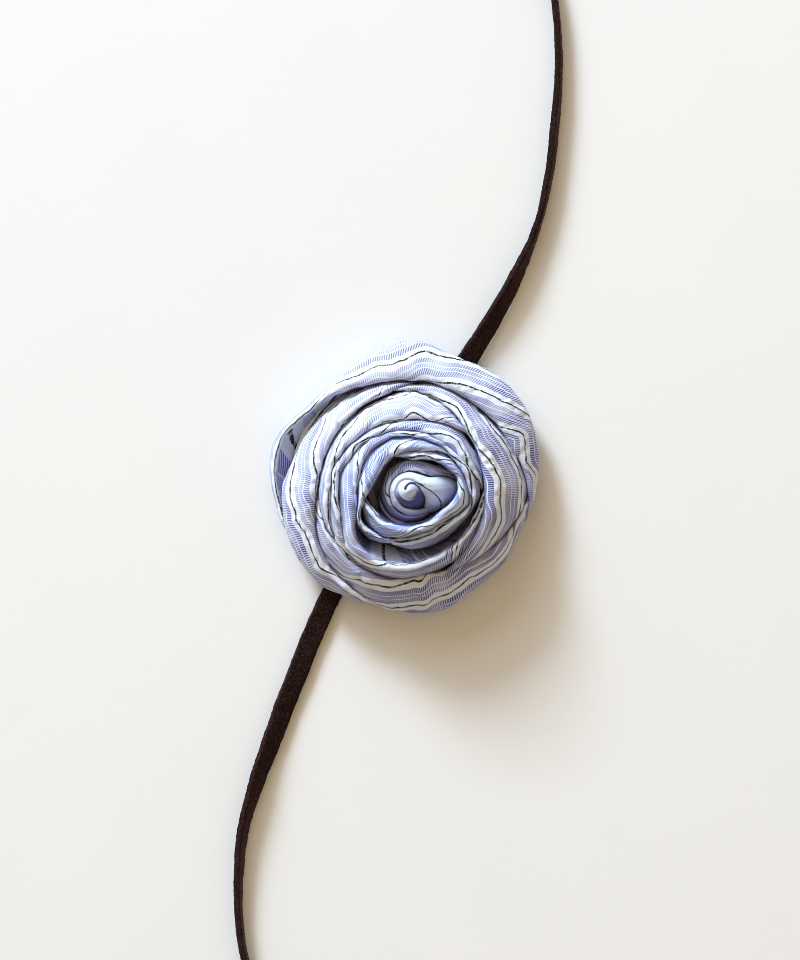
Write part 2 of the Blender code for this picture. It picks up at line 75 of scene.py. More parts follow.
# Each fold of the strip is a rounded flap. A row is the angle round the bud in degrees, the radius and
# height of its rim, the radius and height of its outer edge, and how far its inner face slopes in, in mm.
FOLDS = {
    "outer_right": [
        (-15, 31.0, 6.5, 31.1, 5.0, 1.0),
        (-6, 31.0, 8.5, 32.4, 5.2, 1.0),
        (6, 30.4, 10.2, 33.8, 5.5, 1.0),
        (20, 28.9, 11.8, 35.6, 5.5, 1.0),
        (45, 28.0, 13.0, 37.5, 5.5, 1.0),
        (72, 28.2, 13.2, 36.7, 5.5, 1.0),
        (93, 28.4, 13.0, 39.1, 6.0, 1.0),
        (108, 28.9, 12.6, 36.0, 6.0, 1.2),
        (125, 30.8, 11.6, 34.0, 6.0, 2.2),
        (142, 32.6, 10.2, 34.8, 5.5, 3.2),
        (158, 35.2, 8.6, 37.6, 5.0, 5.0),
        (172, 35.0, 7.6, 36.4, 4.8, 4.6),
        (186, 33.6, 7.0, 34.7, 4.8, 2.0),
        (198, 32.8, 6.0, 33.6, 4.8, 1.0),
    ],
    "left": [
        (86, 28.0, 11.0, 28.4, 9.5, 0.8),
        (98, 26.2, 13.4, 28.6, 9.8, 0.8),
        (116, 24.8, 15.0, 29.0, 8.6, 0.8),
        (145, 23.7, 15.4, 30.2, 6.4, 0.8),
        (165, 23.4, 15.2, 31.0, 5.4, 0.8),
        (180, 23.6, 14.9, 33.0, 5.2, 0.8),
        (200, 25.7, 13.5, 33.8, 5.4, 0.8),
        (222, 28.1, 11.8, 33.7, 5.4, 0.8),
        (242, 29.7, 10.0, 31.8, 5.2, 0.8),
        (258, 30.7, 7.6, 31.0, 5.0, 0.8),
    ],
    "bottom": [
        (182, 23.0, 12.6, 24.2, 11.0, 0.8),
        (196, 23.2, 14.2, 25.6, 11.0, 0.8),
        (214, 23.3, 14.9, 27.8, 9.6, 0.8),
        (240, 23.4, 15.0, 29.9, 7.0, 0.8),
        (258, 23.3, 15.2, 31.0, 5.4, 0.8),
        (284, 22.0, 15.8, 32.3, 5.4, 0.8),
        (300, 23.3, 15.0, 31.2, 5.4, 0.8),
        (320, 25.6, 13.2, 31.0, 5.4, 0.8),
        (340, 28.4, 10.8, 30.8, 5.2, 0.8),
        (357, 30.5, 8.0, 32.8, 5.0, 0.8),
    ],
    "right": [
        (289, 23.0, 14.0, 23.6, 13.0, 0.6),
        (300, 22.4, 16.0, 24.0, 13.4, 0.6),
        (311, 21.1, 17.4, 24.8, 13.0, 0.6),
        (330, 20.2, 18.2, 26.9, 11.0, 1.2),
        (360, 19.7, 18.5, 30.8, 8.0, 1.8),
        (388, 20.3, 18.2, 28.7, 9.6, 1.8),
        (408, 21.4, 17.4, 27.7, 10.4, 1.0),
        (424, 23.4, 15.8, 28.2, 10.2, 0.6),
        (440, 25.4, 14.2, 28.1, 10.4, 0.6),
        (462, 25.8, 12.2, 26.6, 10.8, 0.6),
    ],
    "upper_left": [
        (42, 21.0, 16.0, 21.6, 14.8, 0.6),
        (54, 19.8, 18.2, 22.2, 14.4, 0.6),
        (68, 18.9, 19.2, 23.8, 13.2, 0.6),
        (84, 18.2, 19.6, 25.6, 12.0, 0.6),
        (112, 18.5, 19.5, 24.6, 12.4, 0.6),
        (145, 19.3, 18.9, 23.7, 13.0, 0.6),
        (160, 20.4, 18.2, 23.3, 13.2, 0.6),
        (178, 20.2, 18.2, 23.4, 13.2, 0.6),
        (198, 21.4, 17.2, 23.4, 13.4, 0.6),
        (216, 22.9, 15.2, 23.4, 13.4, 0.6),
    ],
    "upper": [
        (0, 18.4, 17.4, 19.2, 16.0, 0.6),
        (12, 16.9, 19.4, 19.4, 15.4, 0.6),
        (30, 15.5, 21.0, 19.6, 14.8, 0.6),
        (55, 14.9, 21.6, 20.2, 15.4, 0.6),
        (82, 15.0, 21.5, 18.9, 16.8, 0.6),
        (104, 15.7, 20.8, 18.6, 16.8, 0.6),
        (135, 16.8, 20.2, 19.4, 16.2, 0.6),
        (160, 17.7, 19.4, 20.4, 15.6, 0.6),
        (172, 18.5, 18.0, 20.2, 15.8, 0.6),
    ],
    "left_inner": [
        (150, 19.6, 17.0, 20.2, 16.0, 0.6),
        (162, 18.8, 18.8, 20.8, 15.8, 0.6),
        (182, 18.4, 19.4, 20.6, 15.8, 0.6),
        (200, 18.9, 19.0, 21.8, 15.2, 0.6),
        (214, 20.6, 17.4, 23.2, 14.2, 0.6),
        (231, 23.2, 14.6, 23.9, 13.2, 0.6),
    ],
    "lower_ring": [
        (98, 15.8, 18.8, 16.6, 17.4, 0.6),
        (111, 14.5, 21.0, 16.6, 17.4, 0.6),
        (130, 14.1, 21.6, 17.2, 16.8, 0.6),
        (165, 13.4, 21.8, 18.6, 15.8, 0.6),
        (185, 13.6, 21.6, 18.8, 15.6, 0.6),
        (204, 15.2, 20.8, 20.0, 15.0, 0.8),
        (222, 18.2, 19.8, 23.0, 13.8, 2.2),
        (240, 19.6, 19.2, 23.8, 13.2, 4.6),
        (262, 19.3, 19.2, 23.2, 13.8, 4.8),
        (284, 18.4, 19.4, 22.2, 14.8, 3.4),
        (305, 18.0, 19.4, 21.6, 15.2, 2.4),
        (330, 18.0, 19.2, 20.6, 15.8, 1.6),
        (348, 18.6, 18.6, 20.0, 15.8, 0.8),
        (362, 19.4, 16.6, 20.2, 15.2, 0.6),
    ],
    "right_inner": [
        (340, 15.4, 19.0, 16.2, 17.4, 0.6),
        (350, 16.1, 20.2, 18.0, 16.4, 0.6),
        (362, 15.4, 21.0, 18.4, 16.0, 0.6),
        (376, 14.7, 21.8, 17.4, 17.2, 0.6),
        (392, 14.0, 22.3, 16.2, 18.4, 0.6),
        (420, 13.8, 22.5, 15.6, 19.2, 0.6),
        (445, 13.7, 22.3, 15.8, 19.0, 0.6),
        (466, 14.0, 21.4, 16.2, 18.2, 0.6),
        (478, 14.4, 19.8, 15.4, 18.0, 0.6),
    ],
    "lower_right_inner": [
        (250, 13.4, 18.6, 14.4, 17.0, 0.6),
        (266, 12.4, 20.6, 15.0, 16.4, 0.6),
        (288, 11.8, 21.4, 15.4, 15.8, 0.6),
        (308, 12.0, 21.6, 15.8, 15.6, 0.6),
        (325, 13.3, 21.2, 16.2, 16.0, 0.6),
        (340, 15.1, 20.4, 17.2, 16.4, 0.6),
        (351, 16.2, 18.8, 17.2, 16.6, 0.6),
    ],
    "inner_left": [
        (36, 13.9, 20.6, 14.6, 19.0, 0.6),
        (49, 13.0, 22.2, 14.4, 19.0, 0.6),
        (64, 11.2, 23.2, 14.2, 18.8, 0.6),
        (84, 10.4, 23.6, 14.2, 18.6, 0.6),
        (112, 9.9, 23.8, 14.4, 18.4, 0.8),
        (140, 9.1, 23.8, 14.4, 18.2, 1.2),
        (158, 9.3, 23.6, 14.0, 18.2, 1.4),
        (178, 10.3, 23.2, 14.0, 18.0, 1.0),
        (194, 12.0, 22.4, 14.6, 17.6, 0.6),
        (208, 14.0, 21.4, 16.2, 16.0, 0.6),
        (228, 14.1, 21.0, 16.2, 15.0, 0.6),
        (246, 13.4, 20.2, 14.8, 16.0, 0.6),
        (260, 12.9, 18.4, 13.8, 16.4, 0.6),
    ],
    "inner_ring": [
        (186, 12.0, 19.4, 12.8, 18.0, 0.6),
        (200, 10.8, 21.4, 13.2, 17.6, 1.0),
        (225, 10.2, 22.4, 14.2, 16.6, 1.4),
        (260, 9.7, 23.0, 12.8, 17.4, 1.4),
        (300, 9.4, 23.4, 12.2, 18.0, 1.0),
        (330, 9.9, 23.2, 14.0, 17.6, 0.8),
        (350, 12.0, 22.6, 16.2, 17.4, 0.6),
        (372, 12.8, 22.6, 15.0, 18.6, 0.6),
        (386, 11.8, 22.9, 14.4, 19.2, 0.6),
        (404, 10.6, 23.2, 13.4, 19.4, 0.8),
        (424, 9.0, 23.2, 12.4, 19.6, 1.0),
        (446, 8.0, 22.8, 10.8, 19.6, 1.0),
        (464, 8.7, 21.8, 10.4, 19.0, 0.6),
        (478, 9.6, 19.8, 10.4, 18.0, 0.6),
    ],
}

# The bud is rolled from the strip's inner end. Rows as in FOLDS.
BUD_FOLDS = {
    "bud_ring": [
        (-62, 6.2, 14.6, 7.4, 12.8, 0.4),
        (-46, 5.6, 17.2, 8.2, 14.6, 0.4),
        (-24, 4.4, 20.4, 10.4, 16.8, 0.4),
        (-6, 3.1, 22.0, 12.3, 17.9, 0.4),
        (10, 2.7, 22.5, 12.4, 18.2, 0.4),
        (19, 2.5, 22.7, 10.2, 18.9, 0.4),
        (31, 2.4, 22.9, 6.7, 20.6, 0.4),
        (45, 2.3, 23.0, 5.4, 21.4, 0.4),
        (65, 2.3, 23.1, 4.8, 21.8, 0.4),
        (95, 2.5, 23.0, 4.7, 21.8, 0.4),
        (140, 3.0, 22.7, 4.8, 21.2, 0.4),
        (187, 3.2, 22.1, 5.1, 20.6, 0.4),
        (221, 3.7, 21.2, 5.6, 19.4, 0.4),
        (255, 4.5, 20.0, 6.2, 18.2, 0.4),
        (285, 5.1, 18.8, 6.8, 17.0, 0.4),
        (300, 5.6, 17.8, 7.2, 15.8, 0.4),
        (314, 6.1, 16.0, 7.3, 14.4, 0.4),
    ],
    "bud_outer": [
        (14, 11.4, 17.8, 12.5, 16.4, 0.4),
        (21, 9.3, 18.9, 12.2, 17.0, 0.4),
        (31, 6.9, 20.4, 11.2, 17.8, 0.4),
        (45, 5.8, 21.3, 9.3, 19.0, 0.4),
        (62, 5.2, 21.8, 8.4, 19.9, 0.4),
        (85, 4.9, 21.9, 7.8, 20.3, 0.4),
        (105, 4.8, 21.8, 7.5, 19.8, 0.4),
        (130, 4.8, 21.3, 7.3, 18.2, 0.4),
        (165, 4.9, 20.7, 7.1, 17.0, 0.4),
        (200, 5.2, 19.9, 7.4, 16.0, 0.4),
        (230, 5.8, 18.9, 7.8, 15.4, 0.4),
        (262, 6.3, 17.9, 8.0, 14.8, 0.4),
        (295, 6.8, 16.8, 8.2, 14.0, 0.4),
        (320, 7.0, 15.2, 8.2, 12.8, 0.4),
    ],
    "bud_collar": [
        (186, 7.2, 13.0, 7.9, 11.4, 0.4),
        (205, 7.6, 15.0, 8.9, 12.6, 0.4),
        (235, 8.0, 15.8, 9.9, 13.0, 0.4),
        (262, 8.2, 15.8, 10.2, 13.2, 0.4),
        (290, 8.4, 14.8, 9.8, 13.0, 0.4),
        (312, 8.6, 13.2, 9.4, 12.0, 0.4),
    ],
}

# The tip is a cone of cloth with a groove that winds out from its middle. Rows are the angle, and the
# groove's radius and depth in mm.
TIP_HEIGHT = 24.45
TIP_REACH = 5.0
TIP_STEP = 0.10
TIP_GROOVE = [
    (-34, 4.3, 0.0),
    (-21, 3.7, 0.7),
    (-4, 3.0, 1.0),
    (18, 2.5, 1.0),
    (49, 2.1, 1.0),
    (78, 1.75, 1.0),
    (108, 1.3, 1.1),
    (140, 1.05, 1.3),
    (168, 0.95, 1.3),
    (186, 0.9, 0.0),
]
# Painted shade on the tip's cone past 2 mm, by the angle; painted shade in a ring round the cone past 2.5 mm, by
# the angle; and how steep the cone falls, by the angle.
TIP_SHADES = [(-90, 0.25), (-75, 0.5), (-50, 0.85), (-20, 0.9), (-4, 0.7), (10, 0.2), (30, 0.0), (240, 0.0), (270, 0.25)]
TIP_RING_SHADE = [(-90, 0.9), (-30, 0.9), (0, 0.4), (20, 0.0), (150, 0.0), (185, 0.5), (215, 0.85), (270, 0.9)]
TIP_STEEP = [(-90, 1.25), (-40, 1.45), (0, 1.30), (60, 1.0), (150, 0.85), (210, 1.0), (270, 1.25), (320, 1.45), (360, 1.30)]

# Where the black threads run: the angle and the radius in mm, and which repeat of the stripe it is.
THREADS = {
    "outer_right": [
        (6, 33.4, -1), (13, 30.9, -1), (26, 39.8, 0), (33, 36.2, 0), (44, 33.1, 0), (59, 31.0, 0), (70, 29.7, 0),
        (75, 28.4, 0), (82, 36.2, 1), (86, 35.5, 1), (90, 34.0, 1), (98, 32.5, 1), (106, 33.2, 1),
        (117, 32.3, 1), (129, 33.5, 1), (139, 32.5, 1),
    ],
    "left": [
        (102, 28.7, 0), (104.5, 27.0, 0), (108, 25.5, 0), (135, 29.0, 1), (142, 27.6, 1), (154, 27.0, 1),
        (160, 26.0, 1), (168, 24.5, 1), (171, 23.7, 1), (180, 30.9, 2), (185, 30.7, 2), (190, 29.7, 2),
        (195, 30.2, 2), (203, 29.1, 2), (212, 29.8, 2), (220, 30.5, 2), (226, 29.7, 2), (230, 28.8, 2),
    ],
    "bottom": [
        (194, 24.6, 0), (200, 23.2, 0), (232, 28.3, 1), (240, 26.6, 1), (250, 26.0, 1), (258, 25.6, 1),
        (264, 24.5, 1), (270, 23.7, 1), (274, 22.9, 1), (276, 30.6, 2), (279, 30.0, 2), (284, 28.6, 2),
        (291, 29.0, 2), (300, 28.2, 2), (305, 27.7, 2), (315, 28.6, 2), (320, 29.3, 2), (331, 29.3, 2),
        (339, 29.1, 2), (343, 28.9, 2),
    ],
    "right": [
        (329, 25.1, 0), (344, 24.9, 0), (352, 23.5, 0), (368, 23.5, 0), (375, 22.5, 0), (382, 21.9, 0),
        (389, 21.0, 0), (393, 20.4, 0), (420, 29.5, 1), (445, 29.5, 1),
    ],
    "upper_left": [
        (56, 22.3, 0), (65, 19.9, 0), (72, 18.6, 0), (88, 25.5, 1), (95, 24.1, 1), (106, 24.2, 1),
        (118, 23.8, 1), (123, 23.5, 1), (127, 22.5, 1), (133, 22.1, 1), (140, 22.2, 1), (145, 21.9, 1),
        (151, 21.4, 1), (157, 21.0, 1), (161, 20.5, 1), (205, 28.0, 2),
    ],
    "upper": [
        (7, 18.3, 0), (11, 17.5, 0), (17, 16.8, 0), (20, 16.3, 0), (45, 22.5, 1), (75, 19.8, 1),
        (103, 17.8, 1), (110, 17.0, 1), (118, 16.1, 1), (140, 23.5, 2), (165, 21.0, 2),
    ],
    "left_inner": [
        (165, 25.6, 0), (185, 24.8, 0), (205, 24.0, 0), (222, 22.6, 0), (228, 23.2, 0),
    ],
    "lower_ring": [
        (135, 16.5, 0), (140, 16.3, 0), (149, 15.4, 0), (155, 14.7, 0), (159, 13.7, 0), (222, 22.0, 1),
        (231, 21.9, 1), (241, 21.7, 1), (249, 20.6, 1), (254, 19.7, 1), (299, 23.2, 2), (302, 22.5, 2),
        (304, 20.5, 2), (309, 19.4, 2), (315, 18.0, 2), (340, 24.5, 3),
    ],
    "right_inner": [
        (338, 16.8, 0), (345, 16.4, 0), (352, 16.2, 0), (380, 21.0, 1), (410, 18.5, 1), (439, 14.9, 1),
        (444, 14.0, 1), (470, 22.0, 2),
    ],
    "lower_right_inner": [(300, 16.8, 0), (330, 18.0, 0)],
    "inner_left": [
        (70, 14.6, 0), (88, 12.6, 0), (99, 12.1, 0), (107, 11.1, 0), (113, 10.4, 0), (117, 9.5, 0),
        (150, 13.8, 1), (178, 12.1, 1), (192, 11.8, 1), (225, 19.0, 2), (262, 13.5, 2),
    ],
    "inner_ring": [
        (225, 14.6, 0), (255, 12.6, 0), (263, 11.8, 0), (270, 10.9, 0), (279, 10.0, 0), (284, 9.6, 0),
        (330, 18.5, 1), (350, 20.0, 1), (396, 13.1, 1), (402, 11.2, 1), (406, 10.6, 1), (424, 15.9, 2),
        (450, 14.5, 2), (470, 14.0, 2),
    ],
    "bud_ring": [
        (-60, 12.0, 0), (-24, 9.1, 0), (-18, 8.2, 0), (-8, 6.5, 0), (3, 4.6, 0), (23, 3.3, 0), (50, 2.6, 0),
        (80, 1.6, 0), (140, 1.9, 0), (221, 1.6, 0), (285, 2.6, 0),
    ],
    "bud_outer": [
        (20, 14.0, 0), (60, 11.6, 0), (100, 11.0, 0), (128, 7.8, 0), (146, 6.3, 0), (180, 6.2, 0),
        (196, 5.6, 0), (225, 4.6, 0), (262, 3.8, 0), (320, 4.4, 0),
    ],
    "bud_collar": [(186, 4.6, 0), (312, 6.0, 0)],
}

# On the inner face of an open fold the stripes run down into the pocket. Rows are the angle, and the
# place across the stripe there in mm.
INNER_STRIPES = {
    "lower_ring": [(205, -7.0), (225, -4.0), (243, -1.5), (254, 0.2), (267, 1.9), (285, 5.0), (330, 11.0)],
    "outer_right": [(95, -6.0), (124, -0.8), (130, 0.7), (140, 2.2), (146, 7.4), (154, 9.2), (158, 10.0),
                    (163, 11.2), (186, 16.0)],
}
INNER_SLANTS = {"lower_ring": -0.15, "outer_right": 0.25}

# How much painted shade an open fold's inner face gets, from the angle on.
INNER_SHADES = {
    "lower_ring": [(200, 1.0), (232, 0.95), (243, 0.08), (280, 0.12), (298, 0.80), (330, 1.0)],
    "outer_right": [(95, 0.95), (124, 0.9), (133, 0.28), (158, 0.22), (172, 0.32)],
}

# The lace's middle line, outward from under the rose's rim to its cut end. A row is X and Y in mm and
# how far the strip is turned up on its edge, in degrees. Each tail leaves in the direction of its run
# under the rose, and its last 80 mm curve round beyond it.
UPPER_ROUTE = [
    (14.2, 26.7, 8),
    (17.0, 31.6, 26),
    (20.8, 37.5, 38),
    (25.4, 45.4, 49),
    (29.3, 53.1, 59),
    (32.75, 60.9, 74),
    (35.0, 67.6, 81),
    (36.75, 75.4, 76),
    (37.9, 82.5, 74.5),
    (38.6, 89.6, 73),
    (39.3, 96.5, 75.5),
    (39.7, 103.2, 78),
    (39.75, 110.0, 79),
    (39.4, 117.0, 83),
    (38.7, 123.8, 82),
    (36.5, 133.4, 80),
    (32.0, 141.8, 72),
    (25.6, 148.2, 60),
    (18.0, 152.4, 45),
    (9.6, 154.2, 30),
    (1.0, 153.6, 16),
    (-7.4, 150.8, 6),
    (-15.0, 146.4, 0),
    (-22.0, 140.6, 0),
]
LOWER_ROUTE = [
    (-17.5, -27.0, 6),
    (-20.0, -32.2, 12),
    (-22.9, -38.6, 13),
    (-25.8, -45.5, 14),
    (-28.55, -52.5, 20),
    (-31.6, -59.9, 24),
    (-34.2, -67.5, 32),
    (-36.8, -74.0, 43),
    (-39.05, -80.6, 54),
    (-41.85, -89.9, 64),
    (-43.5, -102.6, 72),
    (-43.5, -115.0, 82),
    (-42.0, -125.7, 82),
    (-38.8, -134.8, 78),
    (-33.4, -142.8, 68),
    (-26.2, -148.6, 54),
    (-17.8, -152.0, 38),
    (-9.0, -152.8, 22),
    (-0.4, -151.2, 8),
    (7.8, -147.6, 0),
    (15.2, -142.4, 0),
    (21.4, -135.8, 0),
]
HELD_ROUTE = [
    (-17.25, -26.5, 6),
    (-14.4, -21.7, 0),
    (-6.5, -8.4, 0),
    (4.8, 10.8, 0),
    (11.1, 21.4, 0),
    (14.0, 26.35, 8),
]
LEFT_EDGE_UP = 1
RIGHT_EDGE_UP = -1

# The mesh of the cloth: how far apart its points are along and across a fold, in mm.
ALONG, ACROSS = 0.50, 0.36
BUD_ALONG, BUD_ACROSS = 0.22, 0.20
TUCK_LENGTH, TUCK_DEPTH = 3.0, 1.6

PLAIN_HALF = 1.3
PLAIN_FOLDS = ("bud_ring",)
FREE_FOLDS = ("outer_right", "left", "bottom")

# How far the stitches lean along a twisted fold, in mm for each mm outward, and on every other fold.
STITCH_SLANTS = {"upper_left": 0.45, "left_inner": 0.60, "lower_ring": 0.20, "right_inner": 0.40,
                 "lower_right_inner": 0.30, "inner_left": 0.45, "inner_ring": 0.45}
PLAIN_SLANT = 0.08

# What each point of the cloth carries besides its coordinates: how much painted shade it gets in a crease,
# how much painted blue bounce light it gets in the middle of the rose, and how strongly its stitches show,
# stronger on the side away from the light as painted shade and fainter on the lit side as painted light.
MARKS = ("crease", "blue_bounce", "stitch_shade_by_side")
# The angle round the bud that faces away from the light, where the painted shade on the stitches is strongest.
AWAY_FROM_LIGHT_ANGLE = 305

# How deep the creases between the folds run, and the height below which a fold's edge is free, in mm.
WALL_DEPTH = 8.5
FREE_EDGE_BELOW = 7.0


def smooth_rows(rows, places):
    """Values of rows at places, on a smooth curve through them; the first column is the place."""
    rows = np.array(rows, dtype=float)
    places = np.asarray(places, dtype=float)
    at, values = rows[:, 0], rows[:, 1:]
    slopes = np.gradient(values, at, axis=0)
    i = np.clip(np.searchsorted(at, places) - 1, 0, len(at) - 2)
    span = (at[i + 1] - at[i])[:, None]
    t = (places - at[i])[:, None] / span
    return (
        (2 * t**3 - 3 * t**2 + 1) * values[i]
        + (t**3 - 2 * t**2 + t) * span * slopes[i]
        + (3 * t**2 - 2 * t**3) * values[i + 1]
        + (t**3 - t**2) * span * slopes[i + 1]
    )


def smoothstep(x, low=0.0, high=1.0):
    t = np.clip((x - low) / (high - low), 0.0, 1.0)
    return t * t * (3 - 2 * t)


def ripple(x, y, seed):
    """Smooth random relief between -1 and 1, with about one bump in each unit of x and y."""
    size = 128
    heights = np.random.default_rng(SEED + seed).uniform(-1.0, 1.0, (size, size))
    x, y = np.broadcast_arrays(np.asarray(x, float), np.asarray(y, float))
    left, low = np.floor(x).astype(int), np.floor(y).astype(int)
    a, b = smoothstep(x - left), smoothstep(y - low)
    i, j = left % size, low % size
    k, n = (left + 1) % size, (low + 1) % size
    return ((1 - a) * (1 - b) * heights[i, j] + a * (1 - b) * heights[k, j]
            + (1 - a) * b * heights[i, n] + a * b * heights[k, n])


def fold_section(rim_radius, rim_height, edge_radius, edge_height, slope_in):
    """The outline of one fold, in mm from the bud's axis and above the surface, from its inner foot over
    its rim to its outer foot. The second point is where its rim starts, and the fifth from the end is
    where its outer edge turns down."""
    width = edge_radius - rim_radius
    drop = rim_height - edge_height
    crest = min(1.1, 0.42 * width)
    low = max(3.4, rim_height - WALL_DEPTH)
    points = [
        (rim_radius - slope_in + 0.5 * crest, low),
        (rim_radius + 0.02, rim_height - 1.1),
        (rim_radius + 0.25 * crest, rim_height - 0.25),
        (rim_radius + 0.85 * crest, rim_height),
        (rim_radius + 0.6 * width, rim_height - 0.34 * drop),
    ]
    if edge_height < FREE_EDGE_BELOW:
        points += [(edge_radius, edge_height), (edge_radius - 0.9, 3.2), (edge_radius - 4.5, 3.6)]
    else:
        foot = max(3.4, edge_height - WALL_DEPTH)
        points += [
            (rim_radius + 0.9 * width - 0.1, rim_height - 0.8 * drop - 0.1),
            (edge_radius, edge_height - 0.7),
            (edge_radius - 0.1, edge_height - 2.4),
            (edge_radius - 0.9, foot),
        ]
    return np.array(points)


def section_line(row, samples=90):
    """A fold's outline as a smooth line: radius, height and the distance outward from its rim."""
    points = fold_section(*row)
    spans = np.linalg.norm(np.diff(points, axis=0), axis=1)
    at = np.concatenate([[0.0], np.cumsum(spans)])
    line = smooth_rows(np.column_stack([at, points]), np.linspace(0.0, at[-1], samples))
    steps = np.linalg.norm(np.diff(line, axis=0), axis=1)
    along = np.concatenate([[0.0], np.cumsum(steps)])
    rim = np.interp(at[1], np.linspace(0.0, at[-1], samples), along)
    return line, along - rim


def thread_shift(name, rows, angles):
    """Where the stripe starts at each angle: the distance outward from the rim, in mm."""
    places, shifts = [], []
    for angle, radius, repeat in THREADS[name]:
        line, out = section_line(smooth_rows(rows, [angle])[0])
        outer = (out >= 0) & (line[:, 0] <= line[:, 0].max() + 1e-9)
        last = int(np.argmax(line[:, 0]))
        outer &= np.arange(len(out)) <= last
        reach = np.interp(radius, line[outer, 0], out[outer])
        reach += max(0.0, radius - line[last, 0]) + min(0.0, radius - line[outer, 0][0])
        places.append(angle)
        shifts.append(reach - repeat * REPEAT)
    return np.interp(angles, places, shifts)


def soften(values, width):
    """A running average over so many values each way, with the ends kept."""
    if width < 1:
        return values
    kernel = np.hanning(2 * width + 3)[1:-1]
    padded = np.pad(values, width, mode="edge")
    return np.convolve(padded, kernel / kernel.sum(), mode="valid")


def grid_normals(points):
    along = np.gradient(points, axis=0)
    across = np.gradient(points, axis=1)
    normals = np.cross(across, along)
    return normals / np.maximum(np.linalg.norm(normals, axis=2, keepdims=True), 1e-12)


def fold_cloth(name, rows, step_along, step_across, seed, relief=1.0):
    """One fold as a grid of points in mm, with the cloth's own coordinates at each: along the strip, and
    outward across its stripes."""
    first, last = rows[0][0], rows[-1][0]
    rough = smooth_rows(rows, np.linspace(first, last, 60))
    girth = np.radians(last - first) * np.mean(rough[:, 0] + rough[:, 2]) / 2
    count = max(12, round(girth / step_along))
    angles = np.linspace(first, last, count)
    stations = smooth_rows(rows, angles)
    length = np.linspace(0.0, girth, count)
    ends = np.minimum(length, girth - length)
    stations[:, 0] += 0.12 * relief * ripple(length / 5.0, seed * 3.1, 1)
    stations[:, 1] += 0.16 * relief * ripple(length / 6.0, seed * 3.1, 2)
    stations[:, 2] += 0.16 * relief * ripple(length / 7.0, seed * 3.1, 3)
    stations[:, 1] -= TUCK_DEPTH * (1 - smoothstep(ends / TUCK_LENGTH))
    lines = [section_line(row) for row in stations]
    columns = max(14, round(np.mean([out[-1] - out[0] for _, out in lines]) / step_across))
    places = np.linspace(0.0, 1.0, columns)
    radius, height, outward = (np.zeros((count, columns)) for _ in range(3))
    for i, (line, out) in enumerate(lines):
        spots = out[0] + places * (out[-1] - out[0])
        radius[i] = np.interp(spots, out, line[:, 0])
        height[i] = np.interp(spots, out, line[:, 1])
        outward[i] = spots
    turn = np.radians(angles)[:, None]
    points = np.stack([BUD[0] + radius * np.cos(turn), BUD[1] + radius * np.sin(turn), height], axis=2)
    face = outward.mean(axis=0)
    middle = points[:, int(np.argmin(np.abs(face - 0.5 * face[np.argmax(radius.mean(axis=0))])))]
    steps = np.linalg.norm(np.diff(middle, axis=0), axis=1)
    along = np.concatenate([[0.0], np.cumsum(steps)])[:, None] + 40.0 * seed
    shift = soften(thread_shift(name, rows, angles), round(1.5 / step_along))[:, None]
    across = outward - shift
    stitch_place = along + STITCH_SLANTS.get(name, PLAIN_SLANT) * outward
    if name in PLAIN_FOLDS:
        across = np.clip(across, -PLAIN_HALF, PLAIN_HALF)
    if name in INNER_STRIPES:
        inner = np.interp(angles, *np.array(INNER_STRIPES[name]).T)[:, None] + INNER_SLANTS[name] * outward
        across = np.where(outward < -0.8, inner, across)
        stitch_place = np.where(outward < -0.8, outward + 0.15 * along, stitch_place)
    across = across + 0.10 * ripple(along / 2.2, across / 6.0, 4) + 0.10 * ripple(along / 5.0, across / 9.0, 5)
    points += grid_normals(points) * (relief * cloth_relief(along, outward, across))[:, :, None]
    # Painted shade: the navy crease colour goes on the inner face below the rim and on the cloth past the edge,
    # where it runs down into the crease.
    below_rim = smoothstep(-outward, 0.35, 1.3)
    if name in INNER_SHADES:
        below_rim = below_rim * np.interp(angles, *np.array(INNER_SHADES[name]).T)[:, None]
    beyond_edge = np.zeros_like(outward)
    if name not in FREE_FOLDS:
        reach = outward[:, -1:] - (stations[:, 3:4] - np.maximum(3.4, stations[:, 3:4] - WALL_DEPTH))
        beyond_edge = smoothstep(outward - reach, -0.1, 0.7)
    shade = 0.9 * np.maximum(below_rim, beyond_edge)
    # Painted shade at the outer end of the bud's fan.
    if name in PLAIN_FOLDS:
        shade = np.maximum(shade, 0.35 * smoothstep(outward, 5.2, 8.6))
    # Painted blue bounce light, strongest in the middle of the rose and on the open folds' inner faces.
    blue_bounce = 1 - smoothstep(radius, 12.0, 23.0)
    if name in INNER_STRIPES:
        blue_bounce = np.where(outward < -0.8, 1.0, blue_bounce)
    # Painted shade and light: the stitches show stronger on the side away from the light and fainter on the lit
    # side.
    stitch_shade_by_side = 1 + 0.34 * np.cos(turn - math.radians(AWAY_FROM_LIGHT_ANGLE)) * smoothstep(radius, 13.0, 24.0)
    return points, np.stack([stitch_place, across, shade, blue_bounce, stitch_shade_by_side], axis=2)


def cloth_relief(along, outward, across):
    """How far the cloth stands proud of its smooth fold, in mm."""
    broad = 0.18 * ripple(along / 8.0, outward / 6.0, 6)
    drag = 0.20 * ripple((along + 0.8 * outward) / 3.0, (outward - 0.3 * along) / 9.0, 7)
    fine = 0.08 * ripple((along - 0.5 * outward) / 1.2, outward / 3.5, 8)
    inside = np.abs((across + REPEAT / 2) % REPEAT - REPEAT / 2)
    puckered = 1 - smoothstep(inside, 1.3, 2.4)
    pucker = 0.28 * puckered * ripple(along / 1.25, across / 1.1, 9)
    return broad + drag + fine + pucker


def grid_faces(count, columns, offset=0, close=False):
    """Faces over a grid of points, facing the way that along cross across does not."""
    rows = np.arange(count - (0 if close else 1))
    i, j = np.meshgrid(rows, np.arange(columns - 1), indexing="ij")
    k = (i + 1) % count
    quads = np.stack([i * columns + j, i * columns + j + 1, k * columns + j + 1, k * columns + j], axis=2)
    return (quads.reshape(-1, 4) + offset).tolist()


